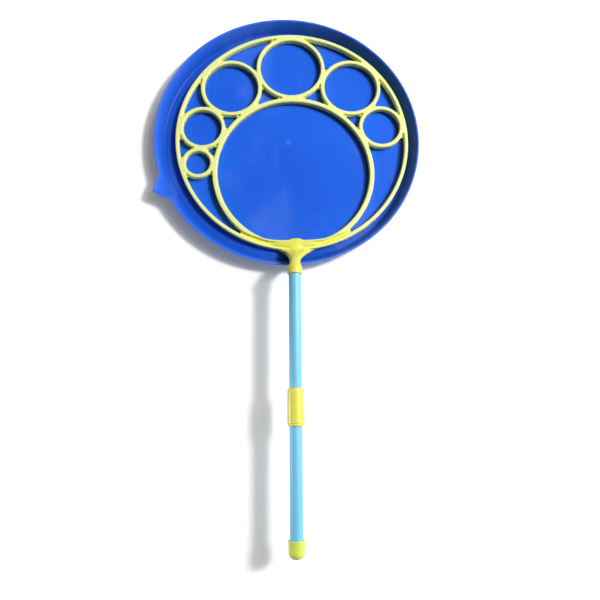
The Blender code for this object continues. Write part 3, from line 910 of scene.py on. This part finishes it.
def ridge_tree():
    """Upright ridges at an even pitch round the inside of one loop."""
    tree, wires, given = new_tree(
        "loop_ridges", "GeometryNodeTree",
        {"Loop Radius": "Float", "Ridge Count": "Int", "Ridge Radius": "Float", "Ridge Height": "Float",
         "Straight Edge": "Float", "Plastic": "Material"},
        {"Ridges": "Geometry"})
    add = wires.add
    ring = add("GeometryNodeMeshCircle", Vertices=given["Ridge Count"], Radius=given["Loop Radius"])
    place = add("GeometryNodeInputPosition").outputs["Position"]
    along = add("ShaderNodeSeparateXYZ", Vector=place).outputs["Y"]
    beyond = add("FunctionNodeCompare", data_type="FLOAT", operation="LESS_THAN", A=along,
                 B=given["Straight Edge"])
    kept = add("GeometryNodeDeleteGeometry", domain="POINT", Geometry=ring.outputs["Mesh"],
               Selection=beyond.outputs["Result"])
    bar = add("GeometryNodeMeshCylinder", fill_type="TRIANGLE_FAN", Vertices=RIDGE_SIDES,
              Radius=given["Ridge Radius"], Depth=given["Ridge Height"])
    face_in = add("FunctionNodeAlignRotationToVector", axis="X", Vector=place)
    copies = add("GeometryNodeInstanceOnPoints", Points=kept.outputs["Geometry"],
                 Instance=bar.outputs["Mesh"], Rotation=face_in.outputs["Rotation"])
    add("NodeGroupOutput", Ridges=painted(wires, copies.outputs["Instances"], given["Plastic"]))
    return tree


def ridges_mesh(material):
    """The ridges of all the loops as one mesh in the head's place."""
    tree = ridge_tree()
    holes = [loop.grown(-SMALL_LOOP_RIB) for loop in small_loops]
    holes.append(Edge(0.0, -BIG_LOOP_OFFSET, BIG_LOOP_RADIUS))
    together = bmesh.new()
    for hole in holes:
        carrier = new_object("ridge_ring", bpy.data.meshes.new("ridge_ring"))
        middle = Vector((hole.centre.x, hole.centre.y, RIDGE_FLOOR + RIDGE_HEIGHT / 2.0))
        together.from_mesh(made_by(tree, carrier, HEAD_PLACE @ Matrix.Translation(middle), {
            "Loop Radius": hole.radius,
            "Ridge Count": round(FULL_TURN * hole.radius / RIDGE_PITCH),
            "Ridge Radius": RIDGE_RADIUS,
            "Ridge Height": RIDGE_HEIGHT,
            "Straight Edge": -CHORD_DROP - hole.centre.y,
            "Plastic": material,
        }))
    return mesh_from(together, "loop_ridges")


# Materials

PLASTIC_IOR = 1.49
DRIFT_SCALE = 9.0
PATCH_SHARE = 1.7           # patches of gloss are this much finer than the waves
HAIRLINE_TURNS = (0.35, 1.3, 2.2)
HAIRLINE_STRETCH = (1.0, 0.035, 1.0)
FILM_TURN = 0.6
FILM_STRETCH = (1.0, 0.45, 1.0)
WORN_SHARE = 0.8            # scuffs and film keep this much of the colour
WORN_WHITE = 0.22           # and add this much white
WORN_ROUGHNESS = 0.5
SKIN_STRENGTH = 0.35
SKIN_DEPTH = 0.001
USUAL_SKIN = {"Grain_Scale": 2600.0, "Grain_Depth": 0.02, "Smooth": 0.26, "Rough": 0.38}
WHITE = (1.0, 1.0, 1.0, 1.0)
MASK_INPUTS = {"Vector": "Vector", "Scale": "Float", "Amount": "Float"}


def moulded_skin_group():
    """Slight unevenness of moulded plastic: a height, and a gloss that varies from place to place."""
    sizes = ("Grain Scale", "Grain Depth", "Wave Scale", "Wave Depth", "Smooth", "Rough")
    group, wires, given = new_tree(
        "moulded_skin", "ShaderNodeTree", {"Vector": "Vector", **dict.fromkeys(sizes, "Float")},
        {"Height": "Float", "Roughness": "Float"})
    vector = given["Vector"]
    grain = wires.noise(vector, given["Grain Scale"], Detail=3.0, Roughness=0.6)
    waves = wires.noise(vector, given["Wave Scale"], Detail=2.0, Roughness=0.4)
    patch_scale = wires.maths("MULTIPLY", given["Wave Scale"], PATCH_SHARE)
    patches = wires.noise(vector, patch_scale, Detail=4.0, Roughness=0.55)
    grain_part = wires.maths("MULTIPLY", grain, given["Grain Depth"])
    height = wires.maths("MULTIPLY_ADD", waves, given["Wave Depth"], grain_part)
    gloss = wires.ranged(patches, From_Min=0.3, From_Max=0.7, To_Min=given["Smooth"],
                         To_Max=given["Rough"])
    wires.add("NodeGroupOutput", Height=height, Roughness=gloss)
    return group


def colour_drift_group():
    """Pigment that is a little deeper in some places than in others."""
    group, wires, given = new_tree(
        "colour_drift", "ShaderNodeTree",
        {"Vector": "Vector", "Colour": "Color", "Deep Colour": "Color", "Scale": "Float"},
        {"Colour": "Color"})
    cloud = wires.noise(given["Vector"], given["Scale"], Detail=3.0, Roughness=0.5)
    share = wires.ranged(cloud, From_Min=0.32, From_Max=0.68)
    wires.add("NodeGroupOutput", Colour=wires.blend(share, given["Colour"], given["Deep Colour"]))
    return group


def hairline_group():
    """Fine hairline scuffs from use, as a mask."""
    group, wires, given = new_tree("hairline_scuffs", "ShaderNodeTree", MASK_INPUTS, {"Mask": "Float"})
    masks = []
    for turn in HAIRLINE_TURNS:
        lay = wires.add("ShaderNodeMapping", Vector=given["Vector"], Rotation=(0.0, 0.0, turn),
                        Scale=HAIRLINE_STRETCH)
        streaks = wires.noise(lay.outputs["Vector"], given["Scale"], Detail=1.0, Roughness=0.4,
                              Distortion=0.15)
        masks.append(wires.ranged(streaks, From_Min=0.69, From_Max=0.75))
    wires.add("NodeGroupOutput", Mask=wires.maths("MULTIPLY", wires.greatest(*masks), given["Amount"]))
    return group


def dried_film_group():
    """Soft cloudy smears of dried bubble liquid, as a mask."""
    group, wires, given = new_tree("dried_film", "ShaderNodeTree", MASK_INPUTS, {"Mask": "Float"})
    lay = wires.add("ShaderNodeMapping", Vector=given["Vector"], Rotation=(0.0, 0.0, FILM_TURN),
                    Scale=FILM_STRETCH)
    cloud = wires.noise(lay.outputs["Vector"], given["Scale"], Detail=5.0, Roughness=0.58, Distortion=0.8)
    soft = wires.ranged(cloud, interpolation_type="SMOOTHSTEP", From_Min=0.46, From_Max=0.74)
    wires.add("NodeGroupOutput", Mask=wires.maths("MULTIPLY", soft, given["Amount"]))
    return group


moulded_skin = moulded_skin_group()
colour_drift = colour_drift_group()
hairlines = hairline_group()
dried_film = dried_film_group()


def new_material(name):
    """A material and its wiring."""
    material = bpy.data.materials.new(name)
    material.use_nodes = True
    return material, Wiring(material.node_tree)


def plastic(name, colour, deep_colour, skin, scuffs, film, painted_light_colour=None, painted_shade_colour=None,
            stretch=(1.0, 1.0, 1.0), shine=0.5):
    """A dyed plastic with drifting colour, a moulded skin, hairline scuffs and dried film.

    A paler colour on parts of the mesh that carry one attribute is painted light: highlights and sheen.
    A darker colour on parts that carry the other attribute is painted shade.
    """
    material, wires = new_material(name)
    where = wires.add("ShaderNodeTexCoord").outputs["Object"]
    lay = wires.add("ShaderNodeMapping", Vector=where, Scale=stretch).outputs["Vector"]

    def placed(group, **values):
        return wires.add("ShaderNodeGroup", node_tree=group, Vector=lay, **values).outputs

    dyed = placed(colour_drift, Colour=(*colour, 1.0), Deep_Colour=(*deep_colour, 1.0),
                  Scale=DRIFT_SCALE)["Colour"]
    surface = placed(moulded_skin, **{**USUAL_SKIN, **skin})
    marks = wires.greatest(placed(hairlines, **scuffs)["Mask"], placed(dried_film, **film)["Mask"])
    for attribute, tint in (("pale", painted_light_colour), ("deep", painted_shade_colour)):
        if tint:
            share = wires.add("ShaderNodeAttribute", attribute_name=attribute).outputs["Fac"]
            dyed = wires.blend(share, dyed, (*tint, 1.0))
    worn = [min(1.0, channel * WORN_SHARE + WORN_WHITE) for channel in colour]
    bump = wires.add("ShaderNodeBump", Strength=SKIN_STRENGTH, Distance=SKIN_DEPTH,
                     Height=surface["Height"])
    wires.fill(
        wires.nodes["Principled BSDF"], IOR=PLASTIC_IOR, Specular_IOR_Level=shine,
        Base_Color=wires.blend(marks, dyed, (*worn, 1.0)),
        Roughness=wires.maths("MULTIPLY_ADD", marks, WORN_ROUGHNESS, surface["Roughness"]),
        Normal=bump.outputs["Normal"])
    return material


def tray_blue():
    return plastic(
        "tray_blue", colour=(0.016, 0.132, 0.80), deep_colour=(0.014, 0.110, 0.72),
        skin={"Wave_Scale": 26.0, "Wave_Depth": 0.55, "Grain_Depth": 0.018},
        scuffs={"Scale": 160.0, "Amount": 0.02}, film={"Scale": 17.0, "Amount": 0.16},
        # a paler blue as painted highlights and light, a darker blue as painted shade in the floor's
        # corner
        painted_light_colour=(0.16, 0.27, 0.72), painted_shade_colour=(0.008, 0.068, 0.43), shine=0.1)


def wand_yellow():
    return plastic(
        "wand_yellow", colour=(0.80, 0.80, 0.095), deep_colour=(0.77, 0.74, 0.07),
        skin={"Wave_Scale": 60.0, "Wave_Depth": 0.20},
        scuffs={"Scale": 160.0, "Amount": 0.06}, film={"Scale": 40.0, "Amount": 0.06},
        # a paler yellow on the ribs, a painted sheen
        painted_light_colour=(0.85, 0.90, 0.33))


def trim_yellow(name, colour, deep_colour):
    return plastic(
        name, colour, deep_colour,
        skin={"Wave_Scale": 80.0, "Wave_Depth": 0.15, "Smooth": 0.30, "Rough": 0.42},
        scuffs={"Scale": 180.0, "Amount": 0.06}, film={"Scale": 60.0, "Amount": 0.05})


def tube_sky_blue():
    """The extruded tube, with faint die lines along its length."""
    return plastic(
        "tube_sky_blue", colour=(0.19, 0.58, 0.84), deep_colour=(0.17, 0.54, 0.80),
        skin={"Grain_Scale": 900.0, "Grain_Depth": 0.05, "Wave_Scale": 90.0, "Wave_Depth": 0.12,
              "Smooth": 0.40, "Rough": 0.52},
        scuffs={"Scale": 160.0, "Amount": 0.05}, film={"Scale": 60.0, "Amount": 0.05},
        stretch=(1.0, 0.03, 1.0))


# Pieces

def make_piece(name, mesh, material, body, slot, *nodes, sharp=35.0, even=False):
    """A finished piece that rides with a body and, if it stands for some nodes, replaces them."""
    piece = shown(name, mesh, material, sharp)
    if even:
        shading = piece.modifiers.new("even shading", "WEIGHTED_NORMAL")
        shading.keep_sharp = True
    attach(piece, body)
    if nodes:
        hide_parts(*nodes)


def make_tray():
    blue = tray_blue()
    make_piece("tray_shell", tray_mesh(blue), blue, "tray", "blue_plastic", "dip_tray", sharp=50.0)


def make_head():
    """Ribs, webs, neck and collar as one moulding, and the ridges inside its loops."""
    yellow = wand_yellow()
    together = bmesh.new()
    # The ribs are marked for the paler yellow, a painted sheen
    pale = together.verts.layers.float.new("pale")
    together.from_mesh(flat_layer("ribs", rib_outlines(), 0.0, RIB_HEIGHT, RIB_ROUNDING))
    for vert in together.verts:
        vert[pale] = 1.0
    top = WEB_FLOOR + WEB_HEIGHT
    together.from_mesh(flat_layer("webs", web_outlines(), WEB_FLOOR, top, WEB_ROUNDING))
    together.from_mesh(neck_mesh())
    together.from_mesh(socket_collar(yellow))
    make_piece("loop_moulding", mesh_from(together, "loop_moulding"), yellow, "head", "yellow_plastic",
               "loop_head", sharp=40.0, even=True)
    make_piece("loop_ridges", ridges_mesh(yellow), yellow, "head", "yellow_plastic")


def make_handle():
    sky = tube_sky_blue()
    warm = trim_yellow("trim_yellow", colour=(0.84, 0.80, 0.11), deep_colour=(0.80, 0.74, 0.08))
    # The cap's yellow is a greener copy of the trim yellow, darkened as painted shade on the handle's far
    # end
    shaded_lemon = trim_yellow("cap_yellow_shaded", colour=(0.71, 0.81, 0.13), deep_colour=(0.68, 0.76, 0.105))
    upper = tube_mesh("upper_tube_body", upper_high.y, upper_low.y, sky)
    make_piece("upper_tube_body", upper, sky, "upper_section", "sky_blue_plastic", "upper_tube")
    make_piece("coupler_body", coupler_mesh(warm), warm, "upper_section", "yellow_trim", "coupler")
    lower = tube_mesh("lower_tube_body", lower_high.y, lower_low.y, sky)
    make_piece("lower_tube_body", lower, sky, "lower_section", "sky_blue_plastic", "lower_tube")
    make_piece("cap_body", cap_mesh(shaded_lemon), shaded_lemon, "lower_section", "yellow_trim", "end_cap")


# Stage, light and camera

KEY_PLACE = Vector((1.60, 0.36, 1.75))
KEY_POWER = 48.0
KEY_SIZE = (0.36, 0.36)
SOFT_PLACE = Vector((1.35, 0.50, 1.55))
SOFT_POWER = 26.0
SOFT_SIZE = (1.70, 1.70)
CARD_PLACE = Vector((-0.85, -0.36, 0.035))
CARD_AIM = Vector((0.0, -0.36, 0.035))
CARD_POWER = 0.16
CARD_SIZE = (0.30, 0.06)
CARD_SPREAD = math.radians(30.0)  # a narrow beam on the handle, which misses most of the tray
UNDER_PLACE = Vector((0.9, -0.9, -1.0))
UNDER_POWER = 24.0
UNDER_SIZE = (0.8, 0.8)
SKY_STRENGTH = 0.03
CAMERA_PLACE = (-0.015507, -0.304677, 0.59173)
CAMERA_TURN = (11.417, -2.656, -0.512)
CAMERA_FOCUS_PIXELS = 552.975
PHOTO_PIXELS = 600.0
SENSOR_WIDTH = 36.0
FLOOR_RADIUS_OUTSIDE = 4.0
FLOOR_RADIUS_INSIDE = 0.132  # open where the tray hides it, so that light reaches the underside
FLOOR_DROP = 0.0004
FLOOR_COLOUR = (0.93, 0.93, 0.93, 1.0)
FLOOR_GLOW = 0.28           # only for the camera and in reflections
GLOW_CENTRE = (0.08, -0.22, 0.0)
GLOW_REACH = (0.33, 0.85)   # the glow grows to full white between these distances from its centre
CLOSE_CENTRE = (0.0, 0.0, 0.0)
CLOSE_REACH = (0.150, 0.175)  # it is weaker close to the tray, a painted deeper shadow where the real one is deepest
CLOSE_SHARE = 0.55


def background_rays(wires):
    """1 for a ray from the camera, a reflection or a clear surface, and 0 for light on the object."""
    path = wires.add("ShaderNodeLightPath").outputs
    return wires.greatest(path["Is Camera Ray"], path["Is Glossy Ray"], path["Is Transmission Ray"])


def pale_floor():
    """A white floor that keeps its shadows, looks white to the camera and is clear from below."""
    material, wires = new_material("pale_floor")
    where = wires.add("ShaderNodeTexCoord").outputs["Object"]
    glow = background_rays(wires)
    # The second fade dims the glow close to the tray, a painted deeper shadow at its foot
    fades = ((GLOW_CENTRE, GLOW_REACH, FLOOR_GLOW), (CLOSE_CENTRE, CLOSE_REACH, CLOSE_SHARE))
    for centre, (near, far), share in fades:
        away = wires.add("ShaderNodeVectorMath", where, centre, operation="DISTANCE").outputs["Value"]
        level = wires.ranged(away, From_Min=near, From_Max=far, To_Min=share)
        glow = wires.maths("MULTIPLY", glow, level)
    shader = wires.fill(
        wires.nodes["Principled BSDF"], Base_Color=FLOOR_COLOUR, Roughness=0.9, Specular_IOR_Level=0.1,
        Emission_Color=WHITE, Emission_Strength=glow)
    clear = wires.add("ShaderNodeBsdfTransparent")
    below = wires.add("ShaderNodeNewGeometry").outputs["Backfacing"]
    surface = wires.add("ShaderNodeMixShader", below, shader.outputs[0], clear.outputs[0])
    wires.fill(wires.nodes["Material Output"], Surface=surface.outputs[0])
    return material


def floor_mesh():
    """A wide ring on the ground."""
    bm = bmesh.new()
    turns = [FULL_TURN * k / ROUND_STEPS for k in range(ROUND_STEPS)]
    rings = []
    for radius in (FLOOR_RADIUS_INSIDE, FLOOR_RADIUS_OUTSIDE):
        places = [(radius * math.cos(turn), radius * math.sin(turn), -FLOOR_DROP) for turn in turns]
        rings.append([bm.verts.new(place) for place in places])
    near, far = rings
    for k in range(ROUND_STEPS):
        bm.faces.new((near[k - 1], far[k - 1], far[k], near[k]))
    return mesh_from(bm, "floor")


def soft_sky():
    """A dim even sky that looks white to the camera and in reflections."""
    world = bpy.data.worlds.new("soft_sky")
    world.use_nodes = True
    wires = Wiring(world.node_tree)
    level = wires.ranged(background_rays(wires), To_Min=SKY_STRENGTH, To_Max=1.0)
    wires.fill(wires.nodes["Background"], Color=WHITE, Strength=level)
    return world


def add_lamp(name, place, aim, power, size, shape="ELLIPSE", spread=math.pi):
    """A lamp with a width and a height that shines at a given place."""
    lamp = bpy.data.lights.new(name, "AREA")
    lamp.shape = shape
    lamp.energy = power
    lamp.size, lamp.size_y = size
    lamp.spread = spread
    thing = new_object(name, lamp)
    thing.location = place
    thing.rotation_euler = (place - aim).to_track_quat("Z", "Y").to_euler()


def make_stage():
    floor = shown("floor", floor_mesh(), pale_floor())

    bpy.context.scene.world = soft_sky()

    add_lamp("key", KEY_PLACE, Vector(), KEY_POWER, KEY_SIZE)
    add_lamp("soft_box", SOFT_PLACE, Vector(), SOFT_POWER, SOFT_SIZE)
    add_lamp("card", CARD_PLACE, CARD_AIM, CARD_POWER, CARD_SIZE, "RECTANGLE", CARD_SPREAD)
    add_lamp("under", UNDER_PLACE, Vector(), UNDER_POWER, UNDER_SIZE)

    lens = bpy.data.cameras.new("camera")
    lens.sensor_width = SENSOR_WIDTH
    lens.lens = CAMERA_FOCUS_PIXELS * SENSOR_WIDTH / PHOTO_PIXELS
    camera = new_object("camera", lens)
    camera.location = CAMERA_PLACE
    camera.rotation_euler = [math.radians(angle) for angle in CAMERA_TURN]
    bpy.context.scene.camera = camera
    bpy.context.scene.view_settings.view_transform = "Standard"


make_tray()
make_head()
make_handle()
make_stage()
